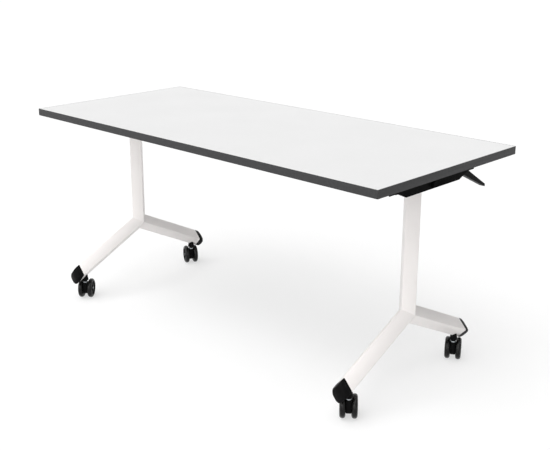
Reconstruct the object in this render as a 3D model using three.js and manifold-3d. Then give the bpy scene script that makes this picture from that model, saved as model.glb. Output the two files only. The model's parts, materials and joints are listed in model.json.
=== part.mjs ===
// Flip top training table: a laminated top that tips up about a pivot on two inverted Y legs,
// held by a latch on each leg that one hand lever releases, and rolling on four twin-wheel castors.
// Millimetres, +X along the table, +Y to the side with the lever, +Z up, origin on the floor.
import * as THREE from 'three';
import { mergeVertices } from 'three/addons/utils/BufferGeometryUtils.js';
import loadManifold from 'manifold-3d';

const manifold = await loadManifold();
manifold.setup();

// Table top
const TOP_LENGTH = 1600;
const TOP_DEPTH = 700;
const TOP_THICKNESS = 25;
const TOP_CORNER = 3;
const TABLE_HEIGHT = 750;
const BAND = 2;

// Legs: square tube standing on its edge
const LEG_INSET = 134;
const TUBE = 45;
const TUBE_WALL = 2;
const TUBE_CORNER = 3.5;
const FOOT_SLOPE = THREE.MathUtils.degToRad(26);
const FOOT_REACH = 300;
const CAP_NOSE = 26;
const CAP_ROUND = 11;
const CAP_INSET = 3.5;
const CAP_SOFT = 12;
const PLUG_DEPTH = 42;

// Beam between the legs
const BEAM_DEPTH = 50;
const BEAM_HEIGHT = 30;
const BEAM_WALL = 2;
const BEAM_DROP = 7;

// Flip pivot and the bracket that turns on it
const PIVOT_DROP = 38;
const PIVOT_RADIUS = 8;
const PIVOT_COVER = 15;
const HEAD_ABOVE_PIVOT = 8;
const HEAD_DEPTH = 52;
const HEAD_FLANGE = 3;
const BRACKET_CLEAR = 3.6;
const BRACKET_WIDTH = 38;
const BRACKET_WALL = 3;
const BRACKET_LENGTH = 428;
const BRACKET_BELLY = 270;
const BRACKET_RAMP = 43;
const BRACKET_LIP = 34;
const BUSH_WALL = 2.5;
const BUSH_FLANGE = 1.5;
const NUT_RADIUS = 13;
const NUT_HEIGHT = 7;
const NUT_CROWN = 2;

// Latch: notched disc on the leg, bolt in the bracket, lever on the cross shaft
const DISC_RADIUS = 22;
const DISC_WIDTH = 10;
const NOTCH_DEPTH = 5;
const BOLT_WIDTH = 8;
const BOLT_HEIGHT = 10;
const TAIL_HEIGHT = 14;
const TAIL_LENGTH = 22;
const GUIDE_WIDTH = 16;
const GUIDE_LENGTH = 24;
const GUIDE_FLOOR = 4;
const GUIDE_START = 60;
const SHAFT_Y = 150;
const SHAFT_DROP = 23;
const SHAFT_RADIUS = 5;
const CRANK_WIDTH = 5;
const CRANK_RADIUS = 9;
const CRANK_PIN_RADIUS = 2.5;
const LEVER_HUB_RADIUS = 12;
const LEVER_HUB_WIDTH = 8;
const LEVER_ROOT_WIDTH = 24;
const LEVER_TIP_WIDTH = 18;
const LEVER_TIP_OUT = 3;
const LEVER_LENGTH = 157;
const LEVER_DROOP = THREE.MathUtils.degToRad(29.5);
const LEVER_TIP_RADIUS = 4;
const SPRING_WIRE = 1.6;
const SPRING_TURNS = 4;
const SPRING_PITCH = 2.3;
const SPRING_LEG = 6.5;
const SPRING_CLEAR = 0.95;

// Twin-wheel castors
const WHEEL_DIAMETER = 75;
const WHEEL_WIDTH = 18;
const WHEEL_GAP = 18;
const WHEEL_SIDES = 28;
const TREAD_ROUND = 8;
const RIM_RADIUS = 27;
const HUB_RADIUS = 11;
const HUB_RECESS = 4;
const WHEEL_AXLE_RADIUS = 4;
const CASTOR_INSET = 24;
const CASTOR_CLEARANCE = 14.4;
const TRAIL = 15;
const KINGPIN_RADIUS = 5;
const KINGPIN_TOP = 42;
const COLLAR_RADIUS = 13;
const COLLAR_LIFT = 1;
const BODY_BELOW_WHEEL_TOP = 8;
const BODY_RADIUS = 21;
const SOCKET_RADIUS = 11;
const BODY_BEVEL = 1.5;

// Heading of each castor's axle from +X, as the wheels stand in use
const CASTOR_HEADINGS = { right_front: 40, right_rear: 30, left_front: 40, left_rear: 60 };

// Gap between parts that touch, gap in a glued or welded seam, and steps round corners and rods
const GAP = 0.3;
const SEAM = 0.1;
const CORNER_STEPS = 2;
const CAP_STEPS = 4;
const ROD_SIDES = 16;

// Levels and places that follow from the sizes above
const UNDERSIDE = TABLE_HEIGHT - TOP_THICKNESS;
const PIVOT_Z = UNDERSIDE - PIVOT_DROP;
const SHAFT_Z = UNDERSIDE - SHAFT_DROP;
const LEG_X = TOP_LENGTH / 2 - LEG_INSET;
const HALF_DIAGONAL = TUBE / Math.SQRT2 - TUBE_CORNER * (Math.SQRT2 - 1);
const CASTOR_Y = FOOT_REACH - CASTOR_INSET;
const RIDGE_AT_CASTOR = WHEEL_DIAMETER + CASTOR_CLEARANCE;
const HALF_HEIGHT = HALF_DIAGONAL / Math.cos(FOOT_SLOPE);
const JOINT_Z = RIDGE_AT_CASTOR + HALF_HEIGHT + CASTOR_Y * Math.tan(FOOT_SLOPE);
const UPRIGHT_TOP = PIVOT_Z + HEAD_ABOVE_PIVOT;
const BRACKET_IN = HALF_DIAGONAL + BRACKET_CLEAR;
const BRACKET_OUT = BRACKET_IN + BRACKET_WIDTH;
const BRACKET_MIDDLE = (BRACKET_IN + BRACKET_OUT) / 2;
const CRANK_OUT = BRACKET_MIDDLE - BOLT_WIDTH / 2 - 1.5;
const LEVER_OUT = BRACKET_OUT - BRACKET_WALL - 1;
const LEVER_IN = LEVER_OUT - LEVER_HUB_WIDTH;
const WHEEL_RADIUS = WHEEL_DIAMETER / 2;
const AXLE_Z = WHEEL_RADIUS * Math.cos(Math.PI / WHEEL_SIDES);
const BODY_TOP = WHEEL_DIAMETER - BODY_BELOW_WHEEL_TOP;
const BODY_WIDTH = WHEEL_GAP - 4 * GAP;
const FAR = 2 * (TOP_LENGTH + TABLE_HEIGHT);
const EVERYWHERE = [-FAR / 2, FAR / 2];

const table = new THREE.Group();

// A mesh with its own finish, added to a group
function addPart(group, name, geometry, colour, roughness, metalness) {
  const material = new THREE.MeshStandardMaterial({ color: colour, roughness, metalness });
  const mesh = new THREE.Mesh(geometry, material);
  mesh.name = name;
  group.add(mesh);
  return mesh;
}

// Finishes: colour, roughness, metalness
const WHITE_LAMINATE = [0xf1f1f1, 0.45, 0];
const GREY_EDGE = [0x47474a, 0.55, 0];
const WHITE_PAINT = [0xf0efed, 0.5, 0];
const BLACK_PAINT = [0x161617, 0.5, 0.1];
const BLACK_PLASTIC = [0x1b1b1c, 0.45, 0];
const BLACK_TREAD = [0x242426, 0.7, 0];
const ZINC_STEEL = [0xa9adb0, 0.35, 0.9];
const GREY_PLASTIC = [0x8b8d90, 0.5, 0];

// Joins and cuts of closed geometries

function solidOf(geometry) {
  const plain = geometry.clone();
  plain.deleteAttribute('normal');
  plain.deleteAttribute('uv');
  const merged = mergeVertices(plain, 1e-4);
  const corners = [];
  for (let i = 0; i < merged.index.count; i += 3) {
    const [a, b, c] = [0, 1, 2].map((k) => merged.index.getX(i + k));
    if (a !== b && b !== c && c !== a) corners.push(a, b, c);
  }
  return new manifold.Manifold(new manifold.Mesh({
    numProp: 3,
    vertProperties: new Float32Array(merged.attributes.position.array),
    triVerts: new Uint32Array(corners),
  }));
}

function geometryOf(solid) {
  const result = solid.getMesh();
  const geometry = new THREE.BufferGeometry();
  geometry.setAttribute('position', new THREE.Float32BufferAttribute(result.vertProperties, 3));
  geometry.setIndex(new THREE.Uint32BufferAttribute(result.triVerts, 1));
  geometry.computeVertexNormals();
  return geometry;
}

function join(first, ...others) {
  return geometryOf(others.reduce((solid, other) => solid.add(solidOf(other)), solidOf(first)));
}

function cut(first, ...tools) {
  return geometryOf(tools.reduce((solid, tool) => solid.subtract(solidOf(tool)), solidOf(first)));
}

function overlap(first, second) {
  return geometryOf(solidOf(first).intersect(solidOf(second)));
}

// Basic forms, placed where they belong

function box([x0, x1], [y0, y1], [z0, z1]) {
  const geometry = new THREE.BoxGeometry(Math.abs(x1 - x0), y1 - y0, z1 - z0);
  return geometry.translate((x0 + x1) / 2, (y0 + y1) / 2, (z0 + z1) / 2);
}

function rodX(radius, x0, x1, y, z) {
  const geometry = new THREE.CylinderGeometry(radius, radius, Math.abs(x1 - x0), ROD_SIDES);
  return geometry.rotateZ(Math.PI / 2).translate((x0 + x1) / 2, y, z);
}

function rodZ(radius, z0, z1, y) {
  const geometry = new THREE.CylinderGeometry(radius, radius, z1 - z0, ROD_SIDES);
  return geometry.rotateX(Math.PI / 2).translate(0, y, (z0 + z1) / 2);
}

const PLAIN_SWEEP = { bevelEnabled: false, curveSegments: 3 };

// A profile drawn in Y and Z, swept along X
function sweepX(shape, x0, x1, options = {}) {
  const depth = Math.abs(x1 - x0);
  const geometry = new THREE.ExtrudeGeometry(shape, { depth, ...PLAIN_SWEEP, ...options });
  const turn = new THREE.Matrix4().makeBasis(
    new THREE.Vector3(0, 1, 0), new THREE.Vector3(0, 0, 1), new THREE.Vector3(1, 0, 0));
  return geometry.applyMatrix4(turn).translate(Math.min(x0, x1), 0, 0);
}

// A profile drawn in X and Z, swept along Y
function sweepY(shape, y0, y1) {
  const geometry = new THREE.ExtrudeGeometry(shape, { depth: y1 - y0, ...PLAIN_SWEEP });
  return geometry.rotateX(Math.PI / 2).translate(0, y1, 0);
}

// A profile of [radius, along] points, turned about the X axis and closed where it leaves the axis free
function turnX(profile, sides) {
  const points = profile.map(([radius, along]) => new THREE.Vector2(radius, along));
  if (points[0].x > 0) points.push(points[0]);
  const geometry = new THREE.LatheGeometry(points, sides);
  return geometry.rotateZ(-Math.PI / 2).rotateX(Math.PI / sides);
}

// A flat-bottomed stack of [radius, height] points, turned about the Z axis
function turnZ(profile, sides) {
  const points = profile.map(([radius, height]) => new THREE.Vector2(radius, height));
  return new THREE.LatheGeometry(points, sides).rotateX(Math.PI / 2);
}

function rectangle(width, height, corner) {
  const x = width / 2 - corner;
  const y = height / 2 - corner;
  const shape = new THREE.Shape();
  shape.absarc(x, y, corner, 0, Math.PI / 2);
  shape.absarc(-x, y, corner, Math.PI / 2, Math.PI);
  shape.absarc(-x, -y, corner, Math.PI, 1.5 * Math.PI);
  shape.absarc(x, -y, corner, 1.5 * Math.PI, 2 * Math.PI);
  return shape;
}

// Outline of a square tube that stands on its edge, stretched upwards where the cut is slanted
function diamond(side, corner, stretch = 1, steps = CORNER_STEPS) {
  const points = [];
  const centre = (side / 2 - corner) * Math.SQRT2;
  for (let quarter = 0; quarter < 4; quarter++) {
    const facing = quarter * Math.PI / 2;
    for (let step = 0; step <= steps; step++) {
      const angle = facing + (step / steps - 0.5) * Math.PI / 2;
      const x = centre * Math.cos(facing) + corner * Math.cos(angle);
      const y = centre * Math.sin(facing) + corner * Math.sin(angle);
      points.push(new THREE.Vector2(x, y * stretch));
    }
  }
  return new THREE.Shape(points);
}

// A skin through rings of [x, y, z] points, closed by a flat face at each end
function loft(rings) {
  const count = rings[0].length;
  const last = (rings.length - 1) * count;
  const triangles = [];
  for (let ring = 0; ring < last; ring += count) {
    for (let i = 0; i < count; i++) {
      const a = ring + i;
      const b = ring + (i + 1) % count;
      triangles.push(a, b, b + count, a, b + count, a + count);
    }
  }
  for (let i = 1; i < count - 1; i++) {
    triangles.push(0, i + 1, i, last, last + i, last + i + 1);
  }
  const geometry = new THREE.BufferGeometry();
  geometry.setAttribute('position', new THREE.Float32BufferAttribute(rings.flat(2), 3));
  geometry.setIndex(triangles);
  return geometry;
}

const tubeOutside = () => diamond(TUBE, TUBE_CORNER);
const tubeGrown = () => diamond(TUBE + 2 * GAP, TUBE_CORNER + GAP);
const tubeInside = () => diamond(TUBE - 2 * TUBE_WALL, TUBE_CORNER - TUBE_WALL);
const tubeFilling = () => diamond(TUBE - 2 * TUBE_WALL - 2 * GAP, TUBE_CORNER - TUBE_WALL);

function bar(shape, z0, z1) {
  const geometry = new THREE.ExtrudeGeometry(shape, { depth: z1 - z0, ...PLAIN_SWEEP });
  return geometry.translate(0, 0, z0);
}

function tubeBar(z0, z1) {
  const shape = tubeOutside();
  shape.holes.push(tubeInside());
  return bar(shape, z0, z1);
}

// Lays a bar that was drawn along +Z down the slope of the rear foot
function alongRearFoot(geometry) {
  return geometry.rotateX(-Math.PI / 2 - FOOT_SLOPE).translate(0, 0, JOINT_Z);
}

// Everything below a plane through the leg joint that rises to the rear by the angle given
function belowMitre(angle, lift) {
  return box(EVERYWHERE, EVERYWHERE, [-FAR, lift]).rotateX(angle).translate(0, 0, JOINT_Z);
}

const MITRE = Math.PI / 4 - FOOT_SLOPE / 2;
const behind = (y) => box(EVERYWHERE, [y, FAR], EVERYWHERE);
const before = (y) => box(EVERYWHERE, [-FAR, y], EVERYWHERE);

// Table top: white laminated board with a grey edge band round it

function makeTop(group) {
  const outer = () => rectangle(TOP_LENGTH, TOP_DEPTH, TOP_CORNER);
  const inner = (slack) => rectangle(
    TOP_LENGTH - 2 * BAND - slack, TOP_DEPTH - 2 * BAND - slack, Math.max(TOP_CORNER - BAND, 0.5));
  const ring = outer();
  ring.holes.push(inner(0));
  addPart(group, 'tabletop_board', bar(inner(2 * SEAM), UNDERSIDE, TABLE_HEIGHT), ...WHITE_LAMINATE);
  addPart(group, 'edge_band', bar(ring, UNDERSIDE, TABLE_HEIGHT), ...GREY_EDGE);
}

// Legs: one upright and two feet of the same tube, mitred into an inverted Y

function uprightTube(out) {
  return cut(
    tubeBar(JOINT_Z - HALF_DIAGONAL, UPRIGHT_TOP),
    belowMitre(MITRE, SEAM / 2),
    belowMitre(-MITRE, SEAM / 2),
    rodX(PIVOT_RADIUS + GAP, 0, out * 2 * HALF_DIAGONAL, 0, PIVOT_Z),
  );
}

function rearFootTube() {
  const aboveMitre = box(EVERYWHERE, EVERYWHERE, [-SEAM / 2, FAR])
    .rotateX(MITRE)
    .translate(0, 0, JOINT_Z);
  const length = (FOOT_REACH + TUBE) / Math.cos(FOOT_SLOPE);
  return cut(
    alongRearFoot(tubeBar(-TUBE, length)),
    aboveMitre,
    before(SEAM / 2),
    behind(FOOT_REACH),
    rodZ(KINGPIN_RADIUS + GAP, 0, RIDGE_AT_CASTOR + HALF_HEIGHT, CASTOR_Y),
  );
}

// Moulded end cap: a pillowed nose on the tube's end and a plug inside that holds the castor stem
function rearCap() {
  const ring = (y, angle) => {
    const side = TUBE - 2 * CAP_INSET * (1 - Math.cos(angle));
    const corner = TUBE_CORNER + CAP_SOFT * Math.sin(angle);
    const section = diamond(side, corner, 1 / Math.cos(FOOT_SLOPE), CAP_STEPS).getPoints().reverse();
    const axis = JOINT_Z - y * Math.tan(FOOT_SLOPE);
    return section.map((point) => [point.x, y, axis + point.y]);
  };
  const rings = [ring(FOOT_REACH + GAP, 0)];
  for (let step = 0; step <= CAP_STEPS; step++) {
    const angle = step / CAP_STEPS * Math.PI / 2;
    rings.push(ring(FOOT_REACH + CAP_NOSE - CAP_ROUND * (1 - Math.sin(angle)), angle));
  }
  const nose = loft(rings);
  const length = (FOOT_REACH + TUBE) / Math.cos(FOOT_SLOPE);
  const plug = cut(
    alongRearFoot(bar(tubeFilling(), 0, length)),
    before(FOOT_REACH - PLUG_DEPTH),
    behind(FOOT_REACH + 2 * GAP),
  );
  const stemBore = rodZ(
    KINGPIN_RADIUS + GAP, 0, RIDGE_AT_CASTOR + KINGPIN_TOP + GAP, CASTOR_Y);
  return cut(join(nose, plug), stemBore);
}

// Castor stem: the pin that the castor swivels on, pressed up into the cap's plug
function rearStem() {
  const low = AXLE_Z - WHEEL_AXLE_RADIUS;
  return rodZ(KINGPIN_RADIUS, low, RIDGE_AT_CASTOR + KINGPIN_TOP, CASTOR_Y);
}

// Domed collar on the stem, coped to seat under the foot's lower edge
function rearCollar() {
  const low = WHEEL_DIAMETER + COLLAR_LIFT;
  const high = RIDGE_AT_CASTOR + HALF_HEIGHT;
  const dome = turnZ([
    [0, low],
    [COLLAR_RADIUS - 1, low],
    [COLLAR_RADIUS, low + 1],
    [COLLAR_RADIUS, low + 4],
    [COLLAR_RADIUS - 2, RIDGE_AT_CASTOR],
    [COLLAR_RADIUS - 4, high],
    [0, high],
  ], ROD_SIDES).translate(0, CASTOR_Y, 0);
  const length = (FOOT_REACH + TUBE) / Math.cos(FOOT_SLOPE);
  return cut(
    dome,
    alongRearFoot(bar(tubeGrown(), 0, length)),
    rodZ(KINGPIN_RADIUS + GAP, 0, 2 * high, CASTOR_Y),
  );
}

// Head in the top of the upright that carries the pivot axle
function legHead(out) {
  const plug = bar(tubeFilling(), UPRIGHT_TOP - HEAD_DEPTH, UPRIGHT_TOP + 2 * GAP);
  const flange = bar(tubeOutside(), UPRIGHT_TOP + GAP, UPRIGHT_TOP + GAP + HEAD_FLANGE);
  const bore = rodX(PIVOT_RADIUS + GAP, -out * PIVOT_RADIUS, out * 2 * HALF_DIAGONAL, 0, PIVOT_Z);
  return cut(join(plug, flange), bore);
}

function lockDisc(out) {
  const half = BOLT_HEIGHT / 2 + GAP;
  const floor = DISC_RADIUS - NOTCH_DEPTH;
  const mouth = Math.asin(half / DISC_RADIUS);
  const shape = new THREE.Shape();
  shape.moveTo(floor, -half);
  shape.lineTo(floor, half);
  shape.absarc(0, 0, DISC_RADIUS, mouth, Math.PI / 2 - mouth);
  shape.lineTo(half, floor);
  shape.lineTo(-half, floor);
  shape.absarc(0, 0, DISC_RADIUS, Math.PI / 2 + mouth, 2 * Math.PI - mouth);
  const middle = out * BRACKET_MIDDLE;
  const disc = sweepX(shape, middle - DISC_WIDTH / 2, middle + DISC_WIDTH / 2, { curveSegments: 6 });
  disc.translate(0, 0, PIVOT_Z);
  return cut(disc, rodX(PIVOT_RADIUS + GAP, out * BRACKET_IN, out * BRACKET_OUT, 0, PIVOT_Z));
}

function axleNut(out) {
  const dome = turnX([
    [0, 0],
    [NUT_RADIUS, 0],
    [NUT_RADIUS, NUT_HEIGHT / 2],
    [NUT_RADIUS - 3, NUT_HEIGHT],
    [0, NUT_HEIGHT],
  ], ROD_SIDES);
  const nut = cut(dome, rodX(PIVOT_RADIUS + GAP, -GAP, NUT_HEIGHT - NUT_CROWN, 0, 0));
  return nut.rotateZ(out > 0 ? 0 : Math.PI).translate(out * (BRACKET_OUT + 2 * GAP), 0, PIVOT_Z);
}

function makeLeg(side, out) {
  const leg = new THREE.Group();
  leg.position.x = out * LEG_X;
  table.add(leg);
  addPart(leg, `${side}_upright`, uprightTube(out), ...WHITE_PAINT);
  addPart(leg, `${side}_leg_head`, legHead(out), ...BLACK_PAINT);
  const axleEnd = BRACKET_OUT + GAP + NUT_HEIGHT - NUT_CROWN;
  const axle = rodX(PIVOT_RADIUS, out * GAP - out * PIVOT_RADIUS, out * axleEnd, 0, PIVOT_Z);
  addPart(leg, `${side}_pivot_axle`, axle, ...ZINC_STEEL);
  addPart(leg, `${side}_lock_disc`, lockDisc(out), ...ZINC_STEEL);
  addPart(leg, `${side}_axle_nut`, axleNut(out), ...BLACK_PAINT);
  for (const [end, turn] of [['front', Math.PI], ['rear', 0]]) {
    addPart(leg, `${side}_${end}_foot`, rearFootTube().rotateZ(turn), ...WHITE_PAINT);
    addPart(leg, `${side}_${end}_cap`, rearCap().rotateZ(turn), ...BLACK_PLASTIC);
    addPart(leg, `${side}_${end}_stem`, rearStem().rotateZ(turn), ...ZINC_STEEL);
    addPart(leg, `${side}_${end}_collar`, rearCollar().rotateZ(turn), ...BLACK_PLASTIC);
    makeCastor(leg, `${side}_${end}`, turn === 0 ? CASTOR_Y : -CASTOR_Y);
  }
}

// Castors: a swivelling body between two wheels that trail behind the kingpin

function castorBody() {
  const low = AXLE_Z - BODY_RADIUS;
  const shape = new THREE.Shape();
  shape.moveTo(-SOCKET_RADIUS, BODY_TOP);
  shape.lineTo(-SOCKET_RADIUS, AXLE_Z);
  shape.quadraticCurveTo(-SOCKET_RADIUS, low, TRAIL, low);
  shape.absarc(TRAIL, AXLE_Z, BODY_RADIUS, -Math.PI / 2, Math.PI / 3);
  shape.lineTo(SOCKET_RADIUS, BODY_TOP);
  const half = BODY_WIDTH / 2 - BODY_BEVEL;
  const block = sweepX(shape, -half, half, {
    bevelEnabled: true,
    bevelThickness: BODY_BEVEL,
    bevelSize: BODY_BEVEL,
    bevelOffset: -BODY_BEVEL,
    bevelSegments: 1,
    curveSegments: 6,
  });
  const boss = rodZ(WHEEL_GAP / 2 - 1, AXLE_Z, WHEEL_DIAMETER + COLLAR_LIFT - GAP, 0);
  return cut(
    join(block, boss),
    rodZ(KINGPIN_RADIUS + GAP, AXLE_Z - WHEEL_AXLE_RADIUS - GAP, FAR, 0),
    rodX(WHEEL_AXLE_RADIUS + GAP, -WHEEL_GAP, WHEEL_GAP, TRAIL, AXLE_Z),
  );
}

function castorWheel(out) {
  const inside = WHEEL_GAP / 2;
  const outside = inside + WHEEL_WIDTH;
  const bore = WHEEL_AXLE_RADIUS + GAP;
  const shoulder = TREAD_ROUND * (1 - Math.SQRT1_2);
  const wheel = turnX([
    [bore, inside],
    [WHEEL_RADIUS - TREAD_ROUND, inside],
    [WHEEL_RADIUS - shoulder, inside + shoulder],
    [WHEEL_RADIUS, inside + TREAD_ROUND],
    [WHEEL_RADIUS, outside - TREAD_ROUND],
    [WHEEL_RADIUS - shoulder, outside - shoulder],
    [WHEEL_RADIUS - TREAD_ROUND, outside],
    [RIM_RADIUS, outside],
    [RIM_RADIUS - 1, outside - HUB_RECESS],
    [HUB_RADIUS + 1, outside - HUB_RECESS],
    [HUB_RADIUS, outside - 1],
    [bore, outside - 1],
  ], WHEEL_SIDES);
  return wheel.rotateZ(out > 0 ? 0 : Math.PI).translate(0, TRAIL, AXLE_Z);
}

function makeCastor(leg, place, y) {
  const castor = new THREE.Group();
  castor.position.y = y;
  castor.rotation.z = THREE.MathUtils.degToRad(CASTOR_HEADINGS[place]);
  leg.add(castor);
  const reach = WHEEL_GAP / 2 + WHEEL_WIDTH - 1;
  addPart(castor, `${place}_castor_body`, castorBody(), ...BLACK_PLASTIC);
  const axle = rodX(WHEEL_AXLE_RADIUS, -reach, reach, TRAIL, AXLE_Z);
  addPart(castor, `${place}_castor_axle`, axle, ...ZINC_STEEL);
  addPart(castor, `${place}_wheel_1`, castorWheel(-1), ...BLACK_TREAD);
  addPart(castor, `${place}_wheel_2`, castorWheel(1), ...BLACK_TREAD);
}

// Beam: flat tube between the uprights, its ends coped to fit their edges

function makeBeam() {
  const shape = rectangle(BEAM_DEPTH, BEAM_HEIGHT, 2 * BEAM_WALL);
  shape.holes.push(rectangle(BEAM_DEPTH - 2 * BEAM_WALL, BEAM_HEIGHT - 2 * BEAM_WALL, BEAM_WALL));
  const middle = PIVOT_Z - BEAM_DROP - BEAM_HEIGHT / 2;
  const tube = sweepX(shape, -LEG_X, LEG_X).translate(0, 0, middle);
  const leg = (out) => bar(tubeGrown(), 0, TABLE_HEIGHT).translate(out * LEG_X, 0, 0);
  addPart(table, 'cross_beam', cut(tube, leg(-1), leg(1)), ...BLACK_PAINT);
}

// Flip bracket: folded steel channel under the top, deeper in the middle where it turns on the axle

function flipBracket(out) {
  const seat = UNDERSIDE - GAP;
  const belly = PIVOT_Z - PIVOT_COVER;
  const lip = UNDERSIDE - BRACKET_LIP;
  const end = BRACKET_LENGTH / 2;
  const flat = BRACKET_BELLY / 2;
  const shape = new THREE.Shape([
    new THREE.Vector2(-end, seat),
    new THREE.Vector2(-end, lip),
    new THREE.Vector2(-flat - BRACKET_RAMP, lip),
    new THREE.Vector2(-flat, belly),
    new THREE.Vector2(flat, belly),
    new THREE.Vector2(flat + BRACKET_RAMP, lip),
    new THREE.Vector2(end, lip),
    new THREE.Vector2(end, seat),
  ]);
  const inner = [out * (BRACKET_IN + BRACKET_WALL), out * (BRACKET_OUT - BRACKET_WALL)];
  return cut(
    sweepX(shape, out * BRACKET_IN, out * BRACKET_OUT),
    box(inner, [-BRACKET_LENGTH, BRACKET_LENGTH], [0, seat - BRACKET_WALL]),
    rodX(PIVOT_RADIUS + BUSH_WALL + 2 * GAP, 0, out * 2 * BRACKET_OUT, 0, PIVOT_Z),
    rodX(SHAFT_RADIUS + GAP, 0, out * 2 * BRACKET_OUT, SHAFT_Y, SHAFT_Z),
  );
}

// Flanged bush between the axle and one wall of the bracket, its flange inside the channel
function pivotBush(wall, inward) {
  const bore = PIVOT_RADIUS + GAP;
  const sleeve = bore + BUSH_WALL;
  const bush = turnX([
    [bore, 0],
    [sleeve, 0],
    [sleeve, BRACKET_WALL + GAP],
    [sleeve + BUSH_WALL, BRACKET_WALL + GAP],
    [sleeve + BUSH_WALL, BRACKET_WALL + GAP + BUSH_FLANGE],
    [bore, BRACKET_WALL + GAP + BUSH_FLANGE],
  ], ROD_SIDES);
  return bush.rotateZ(inward > 0 ? 0 : Math.PI).translate(wall, 0, PIVOT_Z);
}

// Guide under the bracket's web that the latch bolt slides through
function boltGuide(out) {
  const top = UNDERSIDE - 2 * GAP - BRACKET_WALL;
  const low = PIVOT_Z - BOLT_HEIGHT / 2 - GAP - GUIDE_FLOOR;
  const half = GUIDE_WIDTH / 2;
  const slotHalf = BOLT_WIDTH / 2 + GAP;
  const slotHigh = PIVOT_Z + BOLT_HEIGHT / 2 + GAP;
  const slotLow = PIVOT_Z - BOLT_HEIGHT / 2 - GAP;
  const corners = (x, z0, z1) =>
    [[-x, z0], [x, z0], [x, z1], [-x, z1]].map((p) => new THREE.Vector2(...p));
  const shape = new THREE.Shape(corners(half, low, top));
  shape.holes.push(new THREE.Path(corners(slotHalf, slotLow, slotHigh)));
  return sweepY(shape, GUIDE_START, GUIDE_START + GUIDE_LENGTH).translate(out * BRACKET_MIDDLE, 0, 0);
}

function latchBolt(out) {
  const middle = out * BRACKET_MIDDLE;
  const across = [middle - BOLT_WIDTH / 2, middle + BOLT_WIDTH / 2];
  const tailEnd = SHAFT_Y + TAIL_LENGTH / 2;
  const level = (height) => [PIVOT_Z - height / 2, PIVOT_Z + height / 2];
  const stem = box(across, [DISC_RADIUS + GAP, tailEnd - 1], level(BOLT_HEIGHT));
  const tail = box(across, [tailEnd - TAIL_LENGTH, tailEnd], level(TAIL_HEIGHT));
  const slotHalf = CRANK_PIN_RADIUS + GAP;
  const slotReach = [SHAFT_Y - slotHalf, SHAFT_Y + slotHalf];
  const slot = box([-FAR, FAR], slotReach, level(TAIL_HEIGHT - 2 * slotHalf));
  return cut(join(stem, tail), slot);
}

// Crank on the cross shaft whose pin draws the bolt back
function crank(out) {
  const start = out * (CRANK_OUT - CRANK_WIDTH);
  const shape = new THREE.Shape();
  const foot = CRANK_PIN_RADIUS * 2;
  shape.absarc(SHAFT_Y, SHAFT_Z, CRANK_RADIUS, 0, Math.PI);
  shape.absarc(SHAFT_Y, PIVOT_Z, foot, Math.PI, 2 * Math.PI);
  const plate = sweepX(shape, start, out * CRANK_OUT, { curveSegments: 5 });
  const pin = rodX(CRANK_PIN_RADIUS, start, out * (BRACKET_MIDDLE + BOLT_WIDTH / 2), SHAFT_Y, PIVOT_Z);
  const bore = rodX(SHAFT_RADIUS + GAP, 0, out * 2 * BRACKET_OUT, SHAFT_Y, SHAFT_Z);
  return cut(join(plate, pin), bore);
}

// Hand lever: a tapered blade in side view and in plan, clamped to the cross shaft by a narrow hub
function releaseLever() {
  const tipY = SHAFT_Y + LEVER_LENGTH * Math.cos(LEVER_DROOP);
  const tipZ = SHAFT_Z - LEVER_LENGTH * Math.sin(LEVER_DROOP);
  const lean = Math.asin((LEVER_HUB_RADIUS - LEVER_TIP_RADIUS) / LEVER_LENGTH);
  const up = Math.PI / 2 - LEVER_DROOP - lean;
  const down = -Math.PI / 2 - LEVER_DROOP + lean;
  const side = new THREE.Shape();
  side.absarc(SHAFT_Y, SHAFT_Z, LEVER_HUB_RADIUS, up, down + 2 * Math.PI);
  side.absarc(tipY, tipZ, LEVER_TIP_RADIUS, down, up);
  const root = LEVER_OUT - LEVER_ROOT_WIDTH;
  const tipOut = LEVER_OUT + LEVER_TIP_OUT;
  const tipIn = tipOut - LEVER_TIP_WIDTH;
  const neck = SHAFT_Y + LEVER_HUB_RADIUS + 2;
  const lipEnd = BRACKET_LENGTH / 2 + LEVER_TIP_RADIUS;
  const end = tipY + LEVER_TIP_RADIUS;
  const round = LEVER_TIP_WIDTH / 3;
  const plan = new THREE.Shape();
  plan.moveTo(LEVER_OUT, SHAFT_Y - LEVER_LENGTH);
  plan.lineTo(LEVER_OUT, lipEnd);
  plan.lineTo(tipOut, end - round);
  plan.quadraticCurveTo(tipOut, end, tipOut - round, end);
  plan.lineTo(tipIn + round, end);
  plan.quadraticCurveTo(tipIn, end, tipIn, end - round);
  plan.lineTo(root, neck + LEVER_HUB_WIDTH);
  plan.lineTo(LEVER_IN, neck);
  plan.lineTo(LEVER_IN, SHAFT_Y - LEVER_LENGTH);
  const blade = overlap(sweepX(side, root, tipOut, { curveSegments: 6 }), bar(plan, 0, TABLE_HEIGHT));
  return cut(blade, rodX(SHAFT_RADIUS + GAP, 0, 2 * BRACKET_OUT, SHAFT_Y, SHAFT_Z));
}

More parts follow.
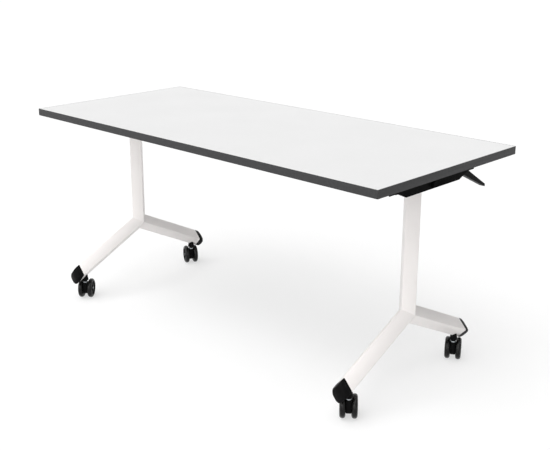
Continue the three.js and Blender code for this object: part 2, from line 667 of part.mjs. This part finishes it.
// Torsion spring round the cross shaft, one leg up to the bracket and one back along the lever
function leverSpring() {
  const radius = SHAFT_RADIUS + SPRING_CLEAR + SPRING_WIRE / 2;
  const length = SPRING_TURNS * SPRING_PITCH;
  const start = (CRANK_OUT + LEVER_IN - length) / 2;
  const steps = 8 * SPRING_TURNS;
  const points = [new THREE.Vector3(start, SHAFT_Y + radius, SHAFT_Z - SPRING_LEG)];
  for (let step = 0; step <= steps; step++) {
    const angle = step / 8 * 2 * Math.PI;
    const x = start + length * step / steps;
    const y = SHAFT_Y + radius * Math.cos(angle);
    points.push(new THREE.Vector3(x, y, SHAFT_Z + radius * Math.sin(angle)));
  }
  points.push(new THREE.Vector3(start + length, SHAFT_Y + radius, SHAFT_Z + SPRING_LEG));
  let least = Infinity;
  points.forEach((point, index) => points.slice(index + 5).forEach((other) => {
    least = Math.min(least, point.distanceTo(other) - SPRING_WIRE);
  }));
  console.log(`lever spring: least gap between turns ${least.toFixed(2)} mm`);
  const wire = new THREE.Shape();
  wire.absarc(0, 0, SPRING_WIRE / 2, 0, 2 * Math.PI);
  const path = new THREE.CatmullRomCurve3(points);
  return new THREE.ExtrudeGeometry(wire, { steps: points.length, extrudePath: path, curveSegments: 3 });
}

function makeFlipGear(side, out) {
  const gear = new THREE.Group();
  gear.position.x = out * LEG_X;
  table.add(gear);
  addPart(gear, `${side}_flip_bracket`, flipBracket(out), ...BLACK_PAINT);
  addPart(gear, `${side}_inner_bush`, pivotBush(out * BRACKET_IN, out), ...GREY_PLASTIC);
  addPart(gear, `${side}_outer_bush`, pivotBush(out * BRACKET_OUT, -out), ...GREY_PLASTIC);
  addPart(gear, `${side}_bolt_guide`, boltGuide(out), ...BLACK_PLASTIC);
  addPart(gear, `${side}_latch_bolt`, latchBolt(out), ...ZINC_STEEL);
  addPart(gear, `${side}_crank`, crank(out), ...ZINC_STEEL);
  if (side === 'right') {
    addPart(gear, 'release_lever', releaseLever(), ...BLACK_PLASTIC);
    addPart(gear, 'lever_spring', leverSpring(), ...ZINC_STEEL);
  }
}

makeTop(table);
makeLeg('left', -1);
makeLeg('right', 1);
makeBeam();
makeFlipGear('left', -1);
makeFlipGear('right', 1);
const shaftEnd = LEG_X + BRACKET_OUT - GAP;
const shaft = rodX(SHAFT_RADIUS, -shaftEnd, shaftEnd, SHAFT_Y, SHAFT_Z);
addPart(table, 'release_shaft', shaft, ...ZINC_STEEL);

export default table;
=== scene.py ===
"""Looks, light and camera for the flip top training table."""

import json
import math

import bmesh
import bpy
from mathutils import Matrix, Vector


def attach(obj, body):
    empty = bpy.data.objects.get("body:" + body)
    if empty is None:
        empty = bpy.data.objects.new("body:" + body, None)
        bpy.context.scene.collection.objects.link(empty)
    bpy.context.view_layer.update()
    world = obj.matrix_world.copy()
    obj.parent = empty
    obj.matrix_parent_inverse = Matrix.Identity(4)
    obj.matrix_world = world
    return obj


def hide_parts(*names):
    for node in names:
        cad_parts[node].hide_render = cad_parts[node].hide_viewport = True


MM = 0.001
SIDES = {"left": -1, "right": 1}
ENDS = ("front", "rear")

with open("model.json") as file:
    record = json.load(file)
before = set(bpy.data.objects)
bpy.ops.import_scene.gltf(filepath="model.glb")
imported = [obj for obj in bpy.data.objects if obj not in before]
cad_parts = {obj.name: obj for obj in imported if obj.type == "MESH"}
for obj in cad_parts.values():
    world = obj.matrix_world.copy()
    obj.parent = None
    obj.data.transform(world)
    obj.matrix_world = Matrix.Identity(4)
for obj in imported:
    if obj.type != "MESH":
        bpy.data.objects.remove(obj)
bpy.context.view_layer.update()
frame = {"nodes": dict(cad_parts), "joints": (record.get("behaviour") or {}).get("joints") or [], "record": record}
nodes = frame["nodes"]


# Shader helpers

# Noise stays mostly between these two values
NOISE_LOW = 0.3
NOISE_HIGH = 0.7


def linear(code):
    """An sRGB hex colour as linear RGBA."""
    parts = [int(code[i : i + 2], 16) / 255 for i in (1, 3, 5)]
    return tuple(
        c / 12.92 if c <= 0.04045 else ((c + 0.055) / 1.055) ** 2.4 for c in parts
    ) + (1.0,)


def add(tree, kind, links=None, **values):
    """A node with its properties and input values set and its inputs linked."""
    node = tree.nodes.new(kind)
    for key, value in values.items():
        name = key.replace("_", " ").title()
        if name in node.inputs:
            node.inputs[name].default_value = value
        else:
            setattr(node, key, value)
    for name, source in (links or {}).items():
        tree.links.new(source, node.inputs[name])
    return node


def start(name):
    """A new material with its shader and its Object coordinates."""
    material = bpy.data.materials.new(name)
    material.use_nodes = True
    tree = material.node_tree
    shader = tree.nodes["Principled BSDF"]
    place = add(tree, "ShaderNodeTexCoord").outputs["Object"]
    return material, tree, shader, place


def grain(tree, place, size_mm, detail, stretch=(1, 1, 1)):
    """Noise whose patches are about size_mm across, drawn out along an axis by a small stretch."""
    mapping = add(tree, "ShaderNodeMapping", {"Vector": place}, scale=stretch)
    return add(
        tree,
        "ShaderNodeTexNoise",
        {"Vector": mapping.outputs["Vector"]},
        scale=1 / (size_mm * MM),
        detail=detail,
    ).outputs["Fac"]


def between(tree, factor, low, high):
    """A number that follows a texture, or a switch of 0 and 1, from low to high."""
    return add(
        tree,
        "ShaderNodeMapRange",
        {"Value": factor},
        from_min=NOISE_LOW,
        from_max=NOISE_HIGH,
        to_min=low,
        to_max=high,
    ).outputs["Result"]


def tone(tree, factor, dark, light):
    """A colour that follows a texture from dark to light."""
    ramp = add(tree, "ShaderNodeValToRGB", {"Fac": factor})
    first, last = ramp.color_ramp.elements
    first.position, first.color = NOISE_LOW, linear(dark)
    last.position, last.color = NOISE_HIGH, linear(light)
    return ramp.outputs["Color"]


def relief(tree, height, depth_mm):
    """A bump of the depth given."""
    bump = add(tree, "ShaderNodeBump", {"Height": height}, strength=1.0, distance=depth_mm * MM)
    return bump.outputs["Normal"]


def connect(tree, shader, **sources):
    """Links textures to the shader's inputs."""
    for key, source in sources.items():
        tree.links.new(source, shader.inputs[key.replace("_", " ").title()])


# Materials, each named for what it is and how its surface was made

def melamine_pressed_pearl():
    """Melamine paper pressed on a pearl plate: even white whose pearl softens reflections."""
    material, tree, shader, place = start("melamine_pressed_pearl")
    # The pearl's grains are 0.5 mm across; drawn at 6 mm, so that they show
    pearl = grain(tree, place, 6.0, 2.0)
    cloud = grain(tree, place, 180.0, 2.0)
    shader.inputs["Specular IOR Level"].default_value = 0.05
    connect(
        tree,
        shader,
        base_color=tone(tree, cloud, "#E7E7E7", "#E9E9E9"),
        roughness=between(tree, pearl, 0.5, 0.6),
        normal=relief(tree, pearl, 0.02),
    )
    return material


def abs_edging_extruded():
    """ABS strip from a die, trimmed flush: matt grey with faint lines along its length."""
    material, tree, shader, place = start("abs_edging_extruded")
    # The die leaves lines 0.3 mm apart; drawn at 4 mm, so that they show on the 25 mm edge
    lines = grain(tree, place, 4.0, 2.0, (0.02, 0.02, 1))
    fleck = grain(tree, place, 9.0, 4.0)
    shader.inputs["Specular IOR Level"].default_value = 0.2
    connect(
        tree,
        shader,
        base_color=tone(tree, fleck, "#3B3B3C", "#404041"),
        roughness=between(tree, lines, 0.46, 0.58),
        normal=relief(tree, lines, 0.015),
    )
    return material


def steel_powder_coated_white():
    """Powder flowed out in the oven: warm white with a low orange peel in its reflections."""
    material, tree, shader, place = start("steel_powder_coated_white")
    # The peel's waves are 2.5 mm long; drawn at 8 mm, so that they show
    peel = grain(tree, place, 8.0, 1.5)
    cloud = grain(tree, place, 120.0, 2.0)
    shader.inputs["Specular IOR Level"].default_value = 0.3
    connect(
        tree,
        shader,
        base_color=tone(tree, cloud, "#F5F1EF", "#F8F4F2"),
        roughness=between(tree, peel, 0.34, 0.42),
        normal=relief(tree, peel, 0.035),
    )
    return material


def steel_powder_coated_black():
    """Fine structure powder: a dense black with a dry, sandy sparkle of small bumps."""
    material, tree, shader, place = start("steel_powder_coated_black")
    # The powder's grit is 0.2 mm across; drawn at 4 mm, so that it shows
    sand = grain(tree, place, 4.0, 3.0)
    cloud = grain(tree, place, 40.0, 2.0)
    shader.inputs["Specular IOR Level"].default_value = 0.02
    connect(
        tree,
        shader,
        base_color=tone(tree, cloud, "#040404", "#080808"),
        roughness=between(tree, sand, 0.48, 0.62),
        normal=relief(tree, sand, 0.05),
    )
    return material


def nylon_moulded_sparked():
    """Nylon from a spark eroded mould: black with a soft sheen that the fine pits spread."""
    material, tree, shader, place = start("nylon_moulded_sparked")
    # The pits are 0.05 mm across; drawn at 4 mm, so that they show
    pits = grain(tree, place, 4.0, 2.0)
    flow = grain(tree, place, 22.0, 3.0)
    shader.inputs["Specular IOR Level"].default_value = 0.03
    connect(
        tree,
        shader,
        base_color=tone(tree, flow, "#0E0E0E", "#131314"),
        roughness=between(tree, pits, 0.32, 0.42),
        normal=relief(tree, pits, 0.02),
    )
    return material


def polyurethane_tread_cast():
    """Soft tread cast on the wheel: black with a satin skin that fine scuffs break up."""
    material, tree, shader, place = start("polyurethane_tread_cast")
    # The scuffs are 1 mm wide; drawn at 4 mm, so that they show
    scuff = grain(tree, place, 4.0, 6.0)
    dust = grain(tree, place, 14.0, 4.0)
    shader.inputs["Specular IOR Level"].default_value = 0.24
    connect(
        tree,
        shader,
        base_color=tone(tree, dust, "#060606", "#0A0A0A"),
        roughness=between(tree, scuff, 0.2, 0.32),
        normal=relief(tree, scuff, 0.03),
    )
    return material


def acetal_turned_grey():
    """Acetal bush turned from bar: pale grey, waxy, with fine tool rings."""
    material, tree, shader, place = start("acetal_turned_grey")
    # The tool's feed is 0.2 mm; drawn at 2 mm, so that its rings show on a bush
    rings = grain(tree, place, 2.0, 2.0, (1, 0.1, 0.1))
    connect(
        tree,
        shader,
        base_color=tone(tree, rings, "#85878A", "#8F9194"),
        roughness=between(tree, rings, 0.4, 0.52),
        normal=relief(tree, rings, 0.01),
    )
    return material


def steel_zinc_plated():
    """Bright zinc plate: cold grey metal whose gloss varies with the drawn bar under it."""
    material, tree, shader, place = start("steel_zinc_plated")
    # The drawing lines are 0.1 mm apart; drawn at 3 mm, so that they show on the shaft
    drawn = grain(tree, place, 3.0, 3.0, (0.08, 1, 1))
    bath = grain(tree, place, 11.0, 3.0)
    shader.inputs["Metallic"].default_value = 1.0
    connect(
        tree,
        shader,
        base_color=tone(tree, bath, "#A4A9AD", "#B6BABD"),
        roughness=between(tree, drawn, 0.26, 0.4),
        normal=relief(tree, drawn, 0.01),
    )
    return material


FINISHES = {
    "white_laminate": melamine_pressed_pearl(),
    "grey_edging": abs_edging_extruded(),
    "white_powder_coat": steel_powder_coated_white(),
    "black_powder_coat": steel_powder_coated_black(),
    "black_moulding": nylon_moulded_sparked(),
    "wheel_polymer": polyurethane_tread_cast(),
    "grey_moulding": acetal_turned_grey(),
    "zinc_steel": steel_zinc_plated(),
}

# Facets closer than this, in metres, are one, and edges turn sharp past this angle in degrees
WELD_DISTANCE = 2e-6
CRISP_ANGLE = 32

# Edges of the real pieces past this angle in degrees are eased by these radii in millimetres
EASE_ANGLE = 40
EASED = {
    "edge_band": 0.8,
    "left_flip_bracket": 0.6,
    "right_flip_bracket": 0.6,
    "release_lever": 1.6,
}


def dress(node, slot):
    """Gives a CAD node its finish, joins its facets and eases its edges."""
    node.data.materials.clear()
    node.data.materials.append(FINISHES[slot])
    weld = node.modifiers.new("weld", "WELD")
    weld.merge_threshold = WELD_DISTANCE
    radius = EASED.get(node.name, 0.0)
    if radius:
        bevel = node.modifiers.new("eased_edges", "BEVEL")
        bevel.width = radius * MM
        bevel.segments = 3
        bevel.limit_method = "ANGLE"
        bevel.angle_limit = math.radians(EASE_ANGLE)
    split = node.modifiers.new("crisp_edges", "EDGE_SPLIT")
    split.split_angle = math.radians(CRISP_ANGLE)
    for polygon in node.data.polygons:
        polygon.use_smooth = True


for row in frame["record"]["subparts"]:
    dress(nodes[row["node"]], row["material_slot"])


# Meshes that the scene adds, smooth up to this angle in degrees
SHARP_ANGLE = 35


def new_piece(name, mesh, body):
    """An object that rides on a CAD body and takes a finish of the record."""
    piece = bpy.data.objects.new(name, mesh)
    bpy.context.scene.collection.objects.link(piece)
    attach(piece, body)
    return piece


def turned(profile, sides, turn):
    """A closed profile of (radius, along, material index) in mm, turned about X and placed by turn.
    The index is that of the faces that start at the point."""
    work = bmesh.new()
    rings = []
    for radius, along, _ in profile:
        ring = []
        for i in range(sides):
            angle = 2 * math.pi * i / sides
            place = Vector((along, radius * math.cos(angle), radius * math.sin(angle))) * MM
            ring.append(work.verts.new(turn @ place))
        rings.append(ring)
    for k, ring in enumerate(rings):
        after = rings[(k + 1) % len(rings)]
        for i in range(sides):
            j = (i + 1) % sides
            face = work.faces.new((ring[i], ring[j], after[j], after[i]))
            face.material_index = profile[k][2]
            face.smooth = True
    bmesh.ops.recalc_face_normals(work, faces=work.faces)
    mesh = bpy.data.meshes.new("turned")
    work.to_mesh(mesh)
    work.free()
    mesh.set_sharp_from_angle(angle=math.radians(SHARP_ANGLE))
    return mesh


# Castor wheels: a soft tread on a dished nylon disc with a raised hub cap

WHEEL_RADIUS = 37.2
WHEEL_SIDES = 72
AXLE_BORE = 4.3
TREAD_ROUND = 8.0
TREAD_STEPS = 6
INNER_FACE = 9.0
OUTER_FACE = 27.0
TREAD = 0
DISC = 1


def shoulder(face, inward):
    """Points of the tread's rounded edge, from its side face up to the running face."""
    points = []
    for step in range(TREAD_STEPS + 1):
        angle = step / TREAD_STEPS * math.pi / 2
        radius = WHEEL_RADIUS - TREAD_ROUND * (1 - math.sin(angle))
        points.append((radius, face + inward * TREAD_ROUND * (1 - math.cos(angle)), TREAD))
    return points


WHEEL_PROFILE = [
    (AXLE_BORE, INNER_FACE, DISC),
    (28.0, INNER_FACE, DISC),
    (28.5, INNER_FACE + 0.6, TREAD),
    *shoulder(INNER_FACE, 1),
    *reversed(shoulder(OUTER_FACE, -1)),
    (28.5, OUTER_FACE - 0.6, DISC),
    (28.0, OUTER_FACE, DISC),
    (26.6, OUTER_FACE, DISC),
    (25.8, OUTER_FACE - 0.8, DISC),
    (24.4, OUTER_FACE - 3.4, DISC),
    (22.8, OUTER_FACE - 4.0, DISC),
    (13.4, OUTER_FACE - 4.0, DISC),
    (12.2, OUTER_FACE - 3.4, DISC),
    (11.2, OUTER_FACE - 1.4, DISC),
    (10.2, OUTER_FACE - 0.9, DISC),
    (AXLE_BORE, OUTER_FACE - 0.7, DISC),
]


def wheel(place, number):
    """One wheel, set where its CAD node is."""
    node = f"{place}_wheel_{number}"
    joint = next(j for j in frame["joints"] if j["name"] == f"{place}_roll_{number}")
    axis = Vector(joint["axis"]).normalized() * (1 if number == 2 else -1)
    across = Vector((0, 0, 1)).cross(axis)
    turn = Matrix((axis, across, Vector((0, 0, 1)))).transposed().to_4x4()
    turn = Matrix.Translation(Vector(joint["pos_m"])) @ turn
    mesh = turned(WHEEL_PROFILE, WHEEL_SIDES, turn)
    mesh.materials.append(FINISHES["wheel_polymer"])
    mesh.materials.append(FINISHES["black_moulding"])
    body = f"{place}_roller_{number}"
    piece = new_piece(f"{node}_turned", mesh, body)
    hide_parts(node)


# Swivel ring: the bright rim of the bearing cup, set in the castor body round its neck

RING_SEAT = 67.0
RING_SIDES = 48
RING_PROFILE = [
    (7.6, -0.4),
    (8.7, -0.4),
    (8.75, 0.3),
    (8.6, 2.2),
    (8.2, 3.4),
    (7.6, 3.8),
]


def swivel_ring(place):
    """The ring of one castor, round its kingpin."""
    joint = next(j for j in frame["joints"] if j["name"] == f"{place}_swivel")
    x, y, _ = joint["pos_m"]
    upright = Matrix.Rotation(-math.pi / 2, 4, "Y")
    turn = Matrix.Translation((x, y, RING_SEAT * MM)) @ upright
    mesh = turned([(radius, height, 0) for radius, height in RING_PROFILE], RING_SIDES, turn)
    mesh.materials.append(FINISHES["zinc_steel"])
    new_piece(f"{place}_swivel_ring", mesh, f"{place}_castor")


for side in SIDES:
    for end in ENDS:
        swivel_ring(f"{side}_{end}")
        for number in (1, 2):
            wheel(f"{side}_{end}", number)


# Screws: one head, repeated by a node group over the points of each body

# The socket of a head lies inside this share of its diameter
SOCKET_REACH = 0.185
HEAD_SIDES = 24


def screw_head():
    """Pan head of diameter 1 with a washer flange and a hexagon socket, its axis along +Z."""
    rings = [
        (0.5, 0.0),
        (0.5, 0.046),
        (0.426, 0.074),
        (0.407, 0.148),
        (0.333, 0.241),
        (0.222, 0.278),
        (0.162, 0.278),
        (0.157, 0.13),
    ]
    work = bmesh.new()
    loops = []
    for radius, height in rings:
        loop = []
        for i in range(HEAD_SIDES):
            angle = 2 * math.pi * i / HEAD_SIDES
            reach = radius
            if radius < SOCKET_REACH:
                reach = radius / math.cos((angle + math.pi / 6) % (math.pi / 3) - math.pi / 6)
            loop.append(work.verts.new((reach * math.cos(angle), reach * math.sin(angle), height)))
        loops.append(loop)
    for lower, upper in zip(loops, loops[1:]):
        for i in range(HEAD_SIDES):
            j = (i + 1) % HEAD_SIDES
            work.faces.new((lower[i], lower[j], upper[j], upper[i])).smooth = True
    work.faces.new(loops[-1])
    work.faces.new(list(reversed(loops[0])))
    bmesh.ops.recalc_face_normals(work, faces=work.faces)
    mesh = bpy.data.meshes.new("screw_head")
    work.to_mesh(mesh)
    work.free()
    mesh.set_sharp_from_angle(angle=math.radians(SHARP_ANGLE))
    return bpy.data.objects.new("screw_head", mesh)


def screw_group():
    """Node group that sets a copy of an object on every point, turned as asked."""
    tree = bpy.data.node_groups.new("set_screws", "GeometryNodeTree")
    sockets = tree.interface
    sockets.new_socket("Geometry", in_out="INPUT", socket_type="NodeSocketGeometry")
    sockets.new_socket("Head", in_out="INPUT", socket_type="NodeSocketObject")
    sockets.new_socket("Head Diameter", in_out="INPUT", socket_type="NodeSocketFloat")
    sockets.new_socket("Turn", in_out="INPUT", socket_type="NodeSocketVector")
    sockets.new_socket("Finish", in_out="INPUT", socket_type="NodeSocketMaterial")
    sockets.new_socket("Geometry", in_out="OUTPUT", socket_type="NodeSocketGeometry")
    given = tree.nodes.new("NodeGroupInput")
    result = tree.nodes.new("NodeGroupOutput")
    head = add(tree, "GeometryNodeObjectInfo", {"Object": given.outputs["Head"]})
    points = add(tree, "GeometryNodeMeshToPoints", {"Mesh": given.outputs["Geometry"]})
    spread = add(
        tree,
        "GeometryNodeInstanceOnPoints",
        {
            "Points": points.outputs["Points"],
            "Instance": head.outputs["Geometry"],
            "Rotation": given.outputs["Turn"],
            "Scale": given.outputs["Head Diameter"],
        },
    )
    real = add(tree, "GeometryNodeRealizeInstances", {"Geometry": spread.outputs["Instances"]})
    painted = add(
        tree,
        "GeometryNodeSetMaterial",
        {"Geometry": real.outputs["Geometry"], "Material": given.outputs["Finish"]},
    )
    tree.links.new(painted.outputs["Geometry"], result.inputs["Geometry"])
    return tree


HEAD = screw_head()
SCREWS = screw_group()


def screws(name, places, diameter, turn, body, slot):
    """Screws at places in mm, made into one plain mesh that rides on a body."""
    mesh = bpy.data.meshes.new(name)
    mesh.from_pydata([Vector(p) * MM for p in places], [], [])
    carrier = bpy.data.objects.new(name + "_points", mesh)
    bpy.context.scene.collection.objects.link(carrier)
    modifier = carrier.modifiers.new("set_screws", "NODES")
    modifier.node_group = SCREWS
    inputs = {i.name: i.identifier for i in SCREWS.interface.items_tree if i.in_out == "INPUT"}
    modifier[inputs["Head"]] = HEAD
    modifier[inputs["Head Diameter"]] = diameter * MM
    modifier[inputs["Turn"]] = turn
    modifier[inputs["Finish"]] = FINISHES[slot]
    made = bpy.data.meshes.new_from_object(
        carrier.evaluated_get(bpy.context.evaluated_depsgraph_get())
    )
    carrier.modifiers.remove(modifier)
    bpy.data.objects.remove(carrier)
    new_piece(name, made, body)


# Bracket screws go up through the web into the board, heads down inside the channel
WEB_UNDERSIDE = 721.6
BRACKET_MIDDLE = 719.0
SCREW_ROW = (-198, -150, -100, -50, 110, 198)
SCREW_DIAMETER = 10.8
screws(
    "bracket_screws",
    [(sign * BRACKET_MIDDLE, y, WEB_UNDERSIDE) for sign in SIDES.values() for y in SCREW_ROW],
    SCREW_DIAMETER,
    (math.pi, 0, 0),
    "top",
    "zinc_steel",
)
bpy.data.objects.remove(HEAD)


# Stage: pale floor, even sky and three broad lamps

# The floor's half width in metres. The camera sees this share of its shaded white, and this much
# plain white added to it
FLOOR_HALF = 60.0
FLOOR_SHADED = 0.45
FLOOR_PLAIN = 0.585


def straight_view(tree):
    """1 for what the camera sees, straight or by gloss or glass, and 0 for light on a surface."""
    rays = add(tree, "ShaderNodeLightPath").outputs
    mirrored = add(tree, "ShaderNodeMath", operation="MAXIMUM")
    tree.links.new(rays["Is Glossy Ray"], mirrored.inputs[0])
    tree.links.new(rays["Is Transmission Ray"], mirrored.inputs[1])
    seen = add(tree, "ShaderNodeMath", operation="MAXIMUM")
    tree.links.new(rays["Is Camera Ray"], seen.inputs[0])
    tree.links.new(mirrored.outputs["Value"], seen.inputs[1])
    return seen.outputs["Value"]


def stage_floor():
    """A wide pale floor that reads white where nothing shades it and pales the shadow on it."""
    mesh = bpy.data.meshes.new("floor")
    half = FLOOR_HALF
    corners = [(-half, -half, 0), (half, -half, 0), (half, half, 0), (-half, half, 0)]
    mesh.from_pydata(corners, [], [(0, 1, 2, 3)])
    floor = bpy.data.objects.new("floor", mesh)
    bpy.context.scene.collection.objects.link(floor)
    material = bpy.data.materials.new("floor_matt")
    material.use_nodes = True
    tree = material.node_tree
    tree.nodes.clear()
    seen = straight_view(tree)
    paint = add(
        tree,
        "ShaderNodeVectorMath",
        {"Scale": between(tree, seen, 1.0, FLOOR_SHADED)},
        operation="SCALE",
        vector=linear("#FBFBFB")[:3],
    )
    matt = add(tree, "ShaderNodeBsdfDiffuse", {"Color": paint.outputs["Vector"]})
    glow = add(tree, "ShaderNodeEmission", {"Strength": between(tree, seen, 0.0, FLOOR_PLAIN)})
    both = add(tree, "ShaderNodeAddShader")
    tree.links.new(matt.outputs["BSDF"], both.inputs[0])
    tree.links.new(glow.outputs["Emission"], both.inputs[1])
    add(tree, "ShaderNodeOutputMaterial", {"Surface": both.outputs["Shader"]})
    mesh.materials.append(material)


# Lamps: strength, width in degrees and the direction they stand in
SKY_STRENGTH = 0.12
LAMPS = {
    "overhead_softbox": {"strength": 1.75, "angle": 66, "place": (-0.08, -0.17, 0.97)},
    "front_softbox": {"strength": 1.55, "angle": 60, "place": (0.0, -0.7, 0.7)},
    "side_fill": {"strength": 0.7, "angle": 60, "place": (0.55, -0.82, 0.15)},
}


def light():
    """An even white sky, which the camera sees as pure white, and three broad lamps."""
    world = bpy.data.worlds.new("studio")
    bpy.context.scene.world = world
    world.use_nodes = True
    tree = world.node_tree
    tree.nodes.clear()
    sky = add(tree, "ShaderNodeBackground", color=(1, 1, 1, 1), strength=SKY_STRENGTH)
    seen = add(tree, "ShaderNodeBackground", color=(1, 1, 1, 1), strength=1.0)
    mix = add(tree, "ShaderNodeMixShader", {"Fac": straight_view(tree)})
    tree.links.new(sky.outputs["Background"], mix.inputs[1])
    tree.links.new(seen.outputs["Background"], mix.inputs[2])
    add(tree, "ShaderNodeOutputWorld", {"Surface": mix.outputs["Shader"]})
    for name, values in LAMPS.items():
        lamp = bpy.data.lights.new(name, "SUN")
        lamp.energy = values["strength"]
        lamp.angle = math.radians(values["angle"])
        carrier = bpy.data.objects.new(name, lamp)
        carrier.rotation_euler = Vector(values["place"]).to_track_quat("Z", "Y").to_euler()
        bpy.context.scene.collection.objects.link(carrier)


# Camera: lens in pixels of the 550 pixel frame, the place in mm and the view's angles in degrees
FRAME_WIDTH = 550
SENSOR_WIDTH = 36
FARTHEST = 200
LENS_PIXELS = 916.42
AZIMUTH = 44.684
ELEVATION = 16.407
ROLL = -0.074
CAMERA_AT = (2183.31, -2188.32, 1402.30)
SHIFT = (0.03, -0.05)


def camera():
    """The photograph's camera, with a shift as small as keeps the other views in the frame."""
    data = bpy.data.cameras.new("camera")
    data.sensor_width = SENSOR_WIDTH
    data.lens = LENS_PIXELS * SENSOR_WIDTH / FRAME_WIDTH
    data.shift_x, data.shift_y = SHIFT
    data.clip_end = FARTHEST
    azimuth, elevation = math.radians(AZIMUTH), math.radians(ELEVATION)
    back = Vector((
        math.sin(azimuth) * math.cos(elevation),
        -math.cos(azimuth) * math.cos(elevation),
        math.sin(elevation),
    ))
    right = Vector((0, 0, 1)).cross(back).normalized()
    up = back.cross(right)
    turn = Matrix((right, up, back)).transposed() @ Matrix.Rotation(math.radians(ROLL), 3, "Z")
    eye = bpy.data.objects.new("camera", data)
    eye.matrix_world = Matrix.Translation(Vector(CAMERA_AT) * MM) @ turn.to_4x4()
    bpy.context.scene.collection.objects.link(eye)
    bpy.context.scene.camera = eye


stage_floor()
light()
camera()
bpy.context.scene.view_settings.view_transform = "Standard"
